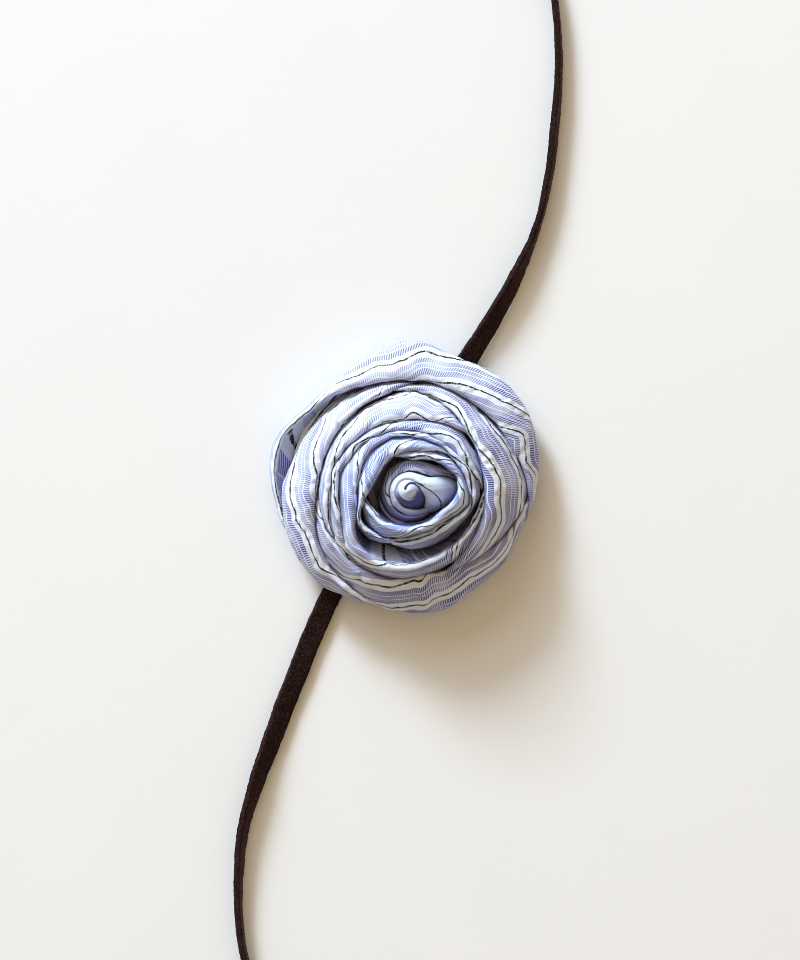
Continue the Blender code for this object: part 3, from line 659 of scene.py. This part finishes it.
def add_mesh(name, points, faces, finish, coordinates=None):
    """A mesh piece from points in mm, with the cloth's coordinates as its UV map and its painted shade and light
    marked.
    """
    mesh = bpy.data.meshes.new(name)
    mesh.from_pydata((points * MM).tolist(), [], faces)
    if coordinates is not None:
        layer = mesh.uv_layers.new(name="cloth")
        corners = np.zeros(len(mesh.loops), dtype=np.int32)
        mesh.loops.foreach_get("vertex_index", corners)
        layer.uv.foreach_set("vector", coordinates[corners, :2].astype(np.float32).ravel())
        for column, mark in enumerate(MARKS, start=2):
            marks = mesh.attributes.new(mark, "FLOAT", "POINT")
            marks.data.foreach_set("value", coordinates[:, column].astype(np.float32))
    mesh.materials.append(finish)
    mesh.shade_smooth()
    mesh.validate()
    obj = bpy.data.objects.new(name, mesh)
    bpy.context.scene.collection.objects.link(obj)
    return obj


def add_grids(name, grids, finish):
    """One piece from several grids of points and their coordinates."""
    points, coordinates, faces = [], [], []
    for grid, flat in grids:
        count, columns = grid.shape[:2]
        faces += grid_faces(count, columns, sum(len(p) for p in points))
        points.append(grid.reshape(-1, 3))
        coordinates.append(flat.reshape(-1, flat.shape[-1]))
    return add_mesh(name, np.concatenate(points), faces, finish, np.concatenate(coordinates))


def bud_tip():
    """The cone in the middle of the bud, and the cloth's coordinates on it."""
    count = round(2 * TIP_REACH / TIP_STEP) + 1
    aside = np.linspace(-TIP_REACH, TIP_REACH, count)
    x, y = np.meshgrid(aside, -aside, indexing="ij")
    radius = np.hypot(x, y)
    angles = (np.degrees(np.arctan2(y, x)) + 90) % 360 - 90
    groove, depth = smooth_rows(TIP_GROOVE, np.clip(angles.ravel(), -34, 186)).T
    groove, depth = groove.reshape(x.shape), np.maximum(depth, 0.0).reshape(x.shape)
    steep = np.interp(angles, *np.array(TIP_STEEP).T)
    height = TIP_HEIGHT - 0.9 * steep * (np.sqrt(radius**2 + 0.64) - 0.8)
    past = radius - groove
    height -= depth * np.exp(-((past / 0.26) ** 2)) + 0.25 * depth * smoothstep(past, 0.0, 0.4)
    height -= 2.2 * np.maximum(0.0, radius - 3.6)
    # Painted shade in the groove, on the cone's far side and in a ring round its foot.
    crease = 0.9 * np.exp(-((past / 0.34) ** 2)) * np.minimum(depth, 1.0)
    shaded = np.interp(angles, *np.array(TIP_SHADES).T) * smoothstep(radius, 1.5, 2.3)
    ring_shade = np.interp(angles, *np.array(TIP_RING_SHADE).T) * smoothstep(radius, 2.5, 2.8)
    points = np.stack([BUD[0] + x, BUD[1] + y, height], axis=2)
    shade = np.maximum(np.maximum(crease, shaded), ring_shade)
    whole = np.ones_like(radius)
    flat = np.stack([4.0 * np.radians(angles), 7.15 + 0.3 * radius, shade, whole, whole], axis=2)
    return points, flat


def grid_area(grids):
    """The cloth's area in square mm."""
    total = 0.0
    for points, _ in grids:
        a, b = points[1:, 1:] - points[:-1, :-1], points[1:, :-1] - points[:-1, 1:]
        total += 0.5 * np.linalg.norm(np.cross(a, b), axis=2).sum()
    return total


class Nodes:
    """A short way to write a material's node tree."""

    def __init__(self, name):
        self.finish = bpy.data.materials.new(name)
        self.finish.use_nodes = True
        self.tree = self.finish.node_tree
        self.shader = self.tree.nodes["Principled BSDF"]

    def value(self, socket, given):
        if isinstance(given, bpy.types.NodeSocket):
            self.tree.links.new(given, socket)
        else:
            socket.default_value = given

    def set(self, name, given):
        self.value(self.shader.inputs[name], given)

    def maths(self, operation, *given, clamp=False):
        node = self.tree.nodes.new("ShaderNodeMath")
        node.operation = operation
        node.use_clamp = clamp
        for socket, item in zip(node.inputs, given):
            self.value(socket, item)
        return node.outputs[0]

    def between(self, x, low, high):
        """1 where x lies between low and high, else 0."""
        return self.maths("MULTIPLY", self.maths("GREATER_THAN", x, low), self.maths("LESS_THAN", x, high))

    def mix(self, share, a, b, blend="MIX"):
        node = self.tree.nodes.new("ShaderNodeMix")
        node.data_type = "RGBA"
        node.blend_type = blend
        for index, item in zip((0, 6, 7), (share, a, b)):
            self.value(node.inputs[index], item)
        return node.outputs[2]

    def mark(self, name):
        node = self.tree.nodes.new("ShaderNodeAttribute")
        node.attribute_name = name
        return node.outputs["Fac"]

    def coordinates(self, kind="Object"):
        return self.tree.nodes.new("ShaderNodeTexCoord").outputs[kind]

    def stretched(self, vector, scale):
        node = self.tree.nodes.new("ShaderNodeMapping")
        self.value(node.inputs["Vector"], vector)
        node.inputs["Scale"].default_value = scale
        return node.outputs["Vector"]

    def noise(self, vector, scale, detail=2.0, roughness=0.5):
        node = self.tree.nodes.new("ShaderNodeTexNoise")
        self.value(node.inputs["Vector"], vector)
        node.inputs["Scale"].default_value = scale
        node.inputs["Detail"].default_value = detail
        node.inputs["Roughness"].default_value = roughness
        return node.outputs["Fac"]

    def spread(self, x, low, high, to_low=0.0, to_high=1.0):
        node = self.tree.nodes.new("ShaderNodeMapRange")
        for index, item in enumerate((x, low, high, to_low, to_high)):
            self.value(node.inputs[index], item)
        return node.outputs["Result"]

    def bump(self, height, strength, distance, normal=None):
        node = self.tree.nodes.new("ShaderNodeBump")
        node.inputs["Strength"].default_value = strength
        node.inputs["Distance"].default_value = distance
        self.value(node.inputs["Height"], height)
        if normal is not None:
            self.value(node.inputs["Normal"], normal)
        return node.outputs["Normal"]


WHITE = (0.685, 0.73, 0.82, 1.0)
LILAC = (0.48, 0.51, 0.79, 1.0)
STITCH = (0.011, 0.012, 0.115, 1.0)
THREAD = (0.020, 0.020, 0.022, 1.0)
# The colour of the painted shade in the creases.
CREASE_SHADE = (0.010, 0.016, 0.17, 1.0)
# The tint of the painted blue bounce light in the middle of the rose.
BLUE_BOUNCE_TINT = (0.90, 0.98, 1.12, 1.0)


def striped_cotton():
    """Cotton with rows of navy cross stitches, plain white bands and a black thread in the middle of
    each puckered one. The UV map is in mm along and across the strip."""
    cloth = Nodes("striped_cotton")
    flat = cloth.coordinates("UV")
    split = cloth.tree.nodes.new("ShaderNodeSeparateXYZ")
    cloth.value(split.inputs[0], flat)
    along, across = split.outputs[0], split.outputs[1]
    fray = cloth.maths("MULTIPLY_ADD", cloth.noise(flat, 2.4, 1.0), 0.24, -0.12)
    place = cloth.maths("MULTIPLY", cloth.maths("FRACT", cloth.maths("DIVIDE", cloth.maths(
        "ADD", across, fray), REPEAT)), REPEAT)
    stitches = 0.0
    banded = 0.0
    for index, (low, high, weight) in enumerate(STITCH_ROWS):
        row = cloth.between(place, low, high)
        slanted = cloth.maths("MULTIPLY_ADD", across, 0.12, along)
        step = cloth.maths("FRACT", cloth.maths("ADD", cloth.maths("DIVIDE", slanted, STITCH_PITCH), 0.5 * index))
        dash = cloth.maths("MULTIPLY", row, cloth.maths("LESS_THAN", step, STITCH_SHARE))
        stitches = cloth.maths("MULTIPLY_ADD", dash, weight, stitches)
        banded = cloth.maths("ADD", banded, row)
    worn_and_side_shade = cloth.spread(cloth.noise(flat, 0.14, 2.0), 0.36, 0.64, 0.50, 1.0)
    # Painted shade and light: on top of the random wear above, the stitches are stronger on the side away from the
    # light and fainter on the lit side.
    worn_and_side_shade = cloth.maths("MULTIPLY", worn_and_side_shade, cloth.mark("stitch_shade_by_side"))
    colour = cloth.mix(cloth.maths("MULTIPLY", banded, worn_and_side_shade), WHITE, LILAC)
    colour = cloth.mix(cloth.maths("MULTIPLY", stitches, worn_and_side_shade), colour, STITCH)
    zigzag = cloth.maths("MULTIPLY", cloth.maths("SINE", cloth.maths("MULTIPLY", along, 9.0)), 0.06)
    centred = cloth.maths("PINGPONG", cloth.maths("ADD", across, zigzag), REPEAT / 2)
    half = cloth.spread(cloth.noise(flat, 1.1, 1.0), 0.3, 0.7, 0.75 * THREAD_HALF, 1.25 * THREAD_HALF)
    thread = cloth.maths("LESS_THAN", centred, half)
    broken = cloth.spread(cloth.noise(cloth.stretched(flat, (1.0, 0.3, 1.0)), 1.3, 2.0), 0.34, 0.5, 0.45, 1.0)
    colour = cloth.mix(cloth.maths("MULTIPLY", thread, broken), colour, THREAD)
    # Painted bounce light: the cloth is tinted bluer in the middle of the rose.
    colour = cloth.mix(cloth.mark("blue_bounce"), colour, BLUE_BOUNCE_TINT, "MULTIPLY")
    # Painted shade: the creases are coloured navy.
    colour = cloth.mix(cloth.mark("crease"), colour, CREASE_SHADE)
    cloth.set("Base Color", colour)
    cloth.set("Roughness", 0.82)
    cloth.set("Specular IOR Level", 0.2)
    cloth.set("Sheen Weight", 0.12)
    cloth.set("Sheen Roughness", 0.5)
    warp = cloth.maths("SINE", cloth.maths("MULTIPLY", along, 24.0))
    weft = cloth.maths("SINE", cloth.maths("MULTIPLY", across, 24.0))
    weave = cloth.maths("MULTIPLY", warp, weft)
    height = cloth.maths("MULTIPLY_ADD", stitches, 0.5, cloth.maths("MULTIPLY", weave, 0.35))
    height = cloth.maths("MULTIPLY_ADD", thread, 0.8, height)
    fine = cloth.bump(height, 0.35, 0.08 * MM)
    crease = cloth.noise(cloth.stretched(flat, (0.55, 0.22, 1.0)), 1.6, 3.0, 0.55)
    cloth.set("Normal", cloth.bump(crease, 0.35, 0.5 * MM, fine))
    return cloth.finish


def suede():
    """Dark red-brown suede: short nap, flecked where its fibres catch the light."""
    nap = Nodes("suede")
    place = nap.coordinates()
    streaks = nap.noise(nap.stretched(place, (1.0, 0.6, 1.0)), 1500.0, 3.0, 0.7)
    patches = nap.noise(place, 220.0, 2.0)
    tone = nap.maths("MULTIPLY_ADD", streaks, 0.75, nap.maths("MULTIPLY", patches, 0.25))
    # Painted glints: random spots of lighter base colour where the fibres would catch the light.
    glint_flecks = nap.spread(nap.noise(place, 2800.0, 2.0), 0.54, 0.72)
    colour = nap.mix(nap.spread(tone, 0.36, 0.66), (0.004, 0.0016, 0.0014, 1.0), (0.026, 0.0098, 0.0082, 1.0))
    nap.set("Base Color", nap.mix(nap.maths("MULTIPLY", glint_flecks, 0.45), colour, (0.14, 0.075, 0.065, 1.0)))
    nap.set("Roughness", 0.95)
    nap.set("Specular IOR Level", 0.12)
    nap.set("Sheen Weight", 0.22)
    nap.set("Sheen Roughness", 0.35)
    nap.set("Sheen Tint", (1.0, 0.62, 0.60, 1.0))
    nap.set("Normal", nap.bump(streaks, 0.8, 0.35 * MM))
    return nap.finish


def felt():
    """Dark brown felt: matted fibres."""
    wool = Nodes("felt")
    place = wool.coordinates()
    fibres = wool.noise(wool.stretched(place, (1.0, 1.0, 2.0)), 1400.0, 5.0, 0.7)
    clumps = wool.noise(place, 260.0, 3.0, 0.6)
    tone = wool.spread(wool.maths("MULTIPLY_ADD", fibres, 0.6, wool.maths("MULTIPLY", clumps, 0.4)), 0.3, 0.7)
    wool.set("Base Color", wool.mix(tone, (0.020, 0.012, 0.010, 1.0), (0.060, 0.038, 0.030, 1.0)))
    wool.set("Roughness", 0.96)
    wool.set("Specular IOR Level", 0.15)
    wool.set("Sheen Weight", 0.4)
    wool.set("Sheen Roughness", 0.6)
    wool.set("Normal", wool.bump(tone, 0.7, 0.3 * MM))
    return wool.finish


def paper():
    """The floor: smooth white card with a faint tooth."""
    card = Nodes("paper")
    place = card.coordinates()
    tooth = card.noise(place, 260.0, 4.0, 0.6)
    clouds = card.noise(place, 30.0, 2.0)
    card.set("Base Color", card.mix(clouds, (0.79, 0.79, 0.785, 1.0), (0.81, 0.81, 0.805, 1.0)))
    card.set("Roughness", 0.9)
    card.set("Specular IOR Level", 0.1)
    card.set("Normal", card.bump(tooth, 0.10, 0.4 * MM))
    return card.finish


def lace_stations(route, step):
    """Places along the lace in mm, evenly spaced on a smooth curve: point, direction and turn."""
    rows = np.array(route, dtype=float)
    spans = np.linalg.norm(np.diff(rows[:, :2], axis=0), axis=1)
    along = np.concatenate([[0.0], np.cumsum(spans)])
    table = np.column_stack([along, rows])
    places = np.linspace(0.0, along[-1], max(3, round(along[-1] / step) + 1))
    here = smooth_rows(table, places)
    ahead = smooth_rows(table, np.minimum(places + 0.2, along[-1]))
    behind = smooth_rows(table, np.maximum(places - 0.2, 0.0))
    direction = ahead[:, :2] - behind[:, :2]
    direction /= np.linalg.norm(direction, axis=1, keepdims=True)
    return here[:, :2], direction, np.radians(np.maximum(0.0, here[:, 2])), places


HELD_SIZE = (4.9, 1.4)
TAIL_SIZE = (5.6, 1.85)
LACE_CLEARANCE = 0.05
FELT_THICKNESS, FELT_RADIUS, GAP = 1.5, 22.0, 0.3
LACE_FLAT_TO, LACE_DOWN_FROM = 23.0, 34.0
LACE_STEP = 0.30
# The strip draws in by this share of its width where it stands on its edge, from the first turn to the
# second, in degrees.
LACE_DRAWN_IN, LACE_DRAWN_FROM, LACE_DRAWN_TO = 0.25, 50.0, 80.0
LACE_SIDES = 40


def lace_middle(points, turn, width, thickness):
    """The height of the lace's middle line: on the felt under the rose, and on the floor beyond it."""
    half_height = (width * np.sin(turn) + thickness * np.cos(turn)) / 2
    reach = np.linalg.norm(points, axis=1)
    share = smoothstep((LACE_DOWN_FROM - reach) / (LACE_DOWN_FROM - LACE_FLAT_TO))
    return half_height + LACE_CLEARANCE + (FELT_THICKNESS + GAP) * share


def lace_section():
    """The lace's cut outline: a flat strip with softened corners, as shares of its half sizes."""
    angles = np.linspace(0, 2 * np.pi, LACE_SIDES, endpoint=False)
    wide = np.sign(np.cos(angles)) * np.abs(np.cos(angles)) ** 0.32
    thick = np.sign(np.sin(angles)) * np.abs(np.sin(angles)) ** 0.45
    return wide, thick


def make_lace(name, route, edge_up, size, finish, seed):
    """One run of the lace, and its middle line in metres. The size is its width and thickness in mm."""
    points, direction, turn, places = lace_stations(route, LACE_STEP)
    level = np.column_stack([-direction[:, 1], direction[:, 0], np.zeros(len(places))]) * edge_up
    up = np.array([0.0, 0.0, 1.0])
    across = level * np.cos(turn)[:, None] + up * np.sin(turn)[:, None]
    upward = up * np.cos(turn)[:, None] - level * np.sin(turn)[:, None]
    drawn = 1 - LACE_DRAWN_IN * smoothstep(np.degrees(turn), LACE_DRAWN_FROM, LACE_DRAWN_TO)
    middle = np.column_stack([points, lace_middle(points, turn, drawn * size[0], size[1])])
    wide, thick = lace_section()
    side = wide * (drawn[:, None] * size[0] / 2 - 0.14)
    rise = thick * (size[1] / 2 - 0.09)
    around = np.arange(LACE_SIDES)
    nap = ripple(places[:, None] / 0.33, around / 1.1, seed) + 0.6 * ripple(places[:, None] / 2.6, around / 4.0, seed + 1)
    edge = 0.16 * ripple(places / 5.0, 0.0, seed + 2)[:, None]
    rings = (middle[:, None] + across[:, None] * (side * (1 + 0.05 * nap + edge * np.sign(side) * 0.3))[:, :, None]
             + upward[:, None] * (rise * (1 + 0.12 * nap))[:, :, None])
    rings[:, :, 2] = np.maximum(rings[:, :, 2], 0.02)
    count = len(places)
    faces = []
    for i in range(count - 1):
        for k in range(LACE_SIDES):
            n = (k + 1) % LACE_SIDES
            faces.append((i * LACE_SIDES + k, (i + 1) * LACE_SIDES + k,
                          (i + 1) * LACE_SIDES + n, i * LACE_SIDES + n))
    faces.append(tuple(range(LACE_SIDES)))
    faces.append(tuple(reversed(range((count - 1) * LACE_SIDES, count * LACE_SIDES))))
    if edge_up > 0:
        faces = [tuple(reversed(face)) for face in faces]
    obj = add_mesh(name, rings.reshape(-1, 3), faces, finish)
    return obj, middle * MM


def make_felt(finish):
    """The backing disc: a soft edge, a faintly uneven outline and a flat back."""
    sides = 220
    turns = np.linspace(0, 2 * np.pi, sides, endpoint=False)
    rim = FELT_RADIUS - 0.10 + 0.16 * ripple(turns * 9, 0.5, 30) + 0.06 * ripple(turns * 40, 0.5, 31)
    profile = [(0.0, 0.02), (6.0, 0.02), (12.0, 0.02), (17.0, 0.02), (19.5, 0.02), (21.0, 0.02),
               (21.6, 0.06), (21.9, 0.25), (22.0, 0.7), (21.95, 1.1), (21.6, 1.42), (21.0, 1.5),
               (19.0, 1.5), (14.0, 1.5), (7.0, 1.5), (0.0, 1.5)]
    rings = []
    for radius, height in profile:
        reach = radius / FELT_RADIUS * rim
        bumps = 0.05 * (1 + ripple(reach / 0.9, turns * 18, 32)) * (height < 0.1)
        rings.append(np.column_stack([reach * np.cos(turns), reach * np.sin(turns), height + bumps]))
    grid = np.array(rings)
    faces = []
    for i in range(len(profile) - 1):
        for k in range(sides):
            n = (k + 1) % sides
            faces.append((i * sides + k, i * sides + n, (i + 1) * sides + n, (i + 1) * sides + k))
    faces = [tuple(reversed(face)) for face in faces]
    return add_mesh("felt_disc", grid.reshape(-1, 3), faces, finish)


def make_underside(finish):
    """The strip's lower edge, gathered in pleats round the back and held to the felt."""
    sides = 720
    turns = np.linspace(0, 2 * np.pi, sides, endpoint=False)
    profile = [(2.0, 8.0), (7.0, 8.0), (12.0, 8.2), (18.0, 7.6), (24.0, 6.2), (28.0, 5.6),
               (30.0, 5.0), (30.4, 4.3), (29.0, 3.5), (26.0, 2.9), (23.0, 2.2), (20.5, 1.85), (17.0, 1.82)]
    rows = np.array(profile)
    spans = np.linalg.norm(np.diff(rows, axis=0), axis=1)
    at = np.concatenate([[0.0], np.cumsum(spans)])
    line = smooth_rows(np.column_stack([at, rows]), np.linspace(0.0, at[-1], 90))
    out = np.linspace(0.0, at[-1], 90)
    radius = np.broadcast_to(line[:, 0], (sides, 90)).copy()
    height = np.broadcast_to(line[:, 1], (sides, 90)).copy()
    under = smoothstep(out, 30.0, 34.0) * (1 - smoothstep(out, at[-1] - 4.0, at[-1]))
    pleats = np.abs(np.sin(turns * 21 + 1.3 * ripple(turns * 2.5, 0.3, 41)))[:, None]
    height += 0.9 * under * (1 - pleats) * 0.9
    centre = np.array([0.4, -1.9])
    x = centre[0] + radius * np.cos(turns)[:, None]
    y = centre[1] + radius * np.sin(turns)[:, None]
    start, end = np.array(HELD_ROUTE[0][:2]), np.array(HELD_ROUTE[-1][:2])
    lane = (end - start) / np.linalg.norm(end - start)
    aside = np.abs((x - start[0]) * -lane[1] + (y - start[1]) * lane[0])
    over = 1 - smoothstep(aside, 3.0, 5.0)
    height = np.maximum(height, over * 3.75)
    grid = np.stack([x, y, height], axis=2)
    flat = np.stack([np.broadcast_to(turns[:, None] * 25.0, radius.shape),
                     np.broadcast_to(out, radius.shape), 0.0 * radius, 0.0 * radius,
                     np.ones_like(radius)], axis=2)
    grid = np.concatenate([grid, grid[:1]])
    flat = np.concatenate([flat, flat[:1] + [2 * np.pi * 25.0, 0, 0, 0, 0]])
    return add_grids("rose_underside", [(grid, flat)], finish)


def make_rose(finish):
    folds = [fold_cloth(name, rows, ALONG, ACROSS, index)
             for index, (name, rows) in enumerate(FOLDS.items())]
    area = grid_area(folds)
    tip = bud_tip()
    rose = add_grids("rose_cloth", folds, finish)
    bud_folds = [fold_cloth(name, rows, BUD_ALONG, BUD_ACROSS, 20 + index, 0.35)
                 for index, (name, rows) in enumerate(BUD_FOLDS.items())] + [tip]
    bud = add_grids("rose_bud", bud_folds, finish)
    print("areas", area, grid_area(bud_folds), "triangles", 2 * len(rose.data.polygons),
          2 * len(bud.data.polygons))
    return rose, bud, area, grid_area(bud_folds)


def make_camera():
    data = bpy.data.cameras.new("camera")
    data.sensor_fit = "VERTICAL"
    data.angle = 2 * math.atan(VIEW_HEIGHT / 2 / (CAMERA_ABOVE - SHARP_PLANE))
    camera = bpy.data.objects.new("camera", data)
    camera.location = (*VIEW_CENTRE, CAMERA_ABOVE)
    bpy.context.scene.collection.objects.link(camera)
    bpy.context.scene.camera = camera


def make_lights():
    for name, (elevation, width, height, power) in LIGHTS.items():
        data = bpy.data.lights.new(name, "AREA")
        data.shape = "RECTANGLE"
        data.size = width
        data.size_y = height
        data.energy = power
        data.color = LIGHT_COLOUR
        lamp = bpy.data.objects.new(name, data)
        rise = math.radians(elevation)
        level = Vector((*LIGHT_FROM, 0)).normalized() * math.cos(rise)
        towards = level + Vector((0, 0, math.sin(rise)))
        lamp.location = towards * LIGHT_DISTANCE
        lamp.rotation_euler = towards.to_track_quat("Z", "Y").to_euler()
        bpy.context.scene.collection.objects.link(lamp)
    world = bpy.data.worlds.new("room")
    world.use_nodes = True
    room = world.node_tree
    direction = room.nodes.new("ShaderNodeTexCoord")
    split = room.nodes.new("ShaderNodeSeparateXYZ")
    share = room.nodes.new("ShaderNodeMapRange")
    share.inputs["From Max"].default_value = ROOM_LOW_UP_TO
    colour = room.nodes.new("ShaderNodeMix")
    colour.data_type = "RGBA"
    colour.inputs[6].default_value = (*ROOM_LOW_COLOUR, 1.0)
    colour.inputs[7].default_value = (*ROOM_COLOUR, 1.0)
    room.links.new(direction.outputs["Generated"], split.inputs[0])
    room.links.new(split.outputs["Z"], share.inputs["Value"])
    room.links.new(share.outputs["Result"], colour.inputs[0])
    room.links.new(colour.outputs[2], room.nodes["Background"].inputs["Color"])
    bpy.context.scene.world = world
    bpy.context.scene.view_settings.view_transform = "Standard"
    bpy.context.scene.cycles.filter_width = 0.8


def make_floor():
    half = FLOOR_SIZE / 2
    mesh = bpy.data.meshes.new("floor")
    mesh.from_pydata([(-half, -half, 0), (half, -half, 0), (half, half, 0), (-half, half, 0)], [], [(0, 1, 2, 3)])
    mesh.materials.append(paper())
    floor = bpy.data.objects.new("floor", mesh)
    bpy.context.scene.collection.objects.link(floor)


def declare(piece, slot, *nodes):
    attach(piece, "root")
    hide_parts(*nodes)


def path_length(points):
    return float(np.linalg.norm(np.diff(points, axis=0), axis=1).sum())


def main():
    make_camera()
    make_lights()
    make_floor()
    leather = suede()
    for name, route, edge_up, node, seed in (
            ("lace_upper", UPPER_ROUTE, LEFT_EDGE_UP, "lace_tail_upper", 50),
            ("lace_lower", LOWER_ROUTE, RIGHT_EDGE_UP, "lace_tail_lower", 60)):
        piece, path = make_lace(name, route, edge_up, TAIL_SIZE, leather, seed)
        declare(piece, "suede", node)
    held, path = make_lace("lace_under_rose", HELD_ROUTE, LEFT_EDGE_UP, HELD_SIZE, leather, 70)
    print("held length", path_length(path))
    declare(held, "suede", "lace_held")
    declare(make_felt(felt()), "felt", "felt_backing")
    cotton = striped_cotton()
    rose, bud, rose_area, bud_area = make_rose(cotton)
    underside = make_underside(cotton)
    for piece in (rose, bud, underside):
        declare(piece, "striped_cotton", "rose")


main()
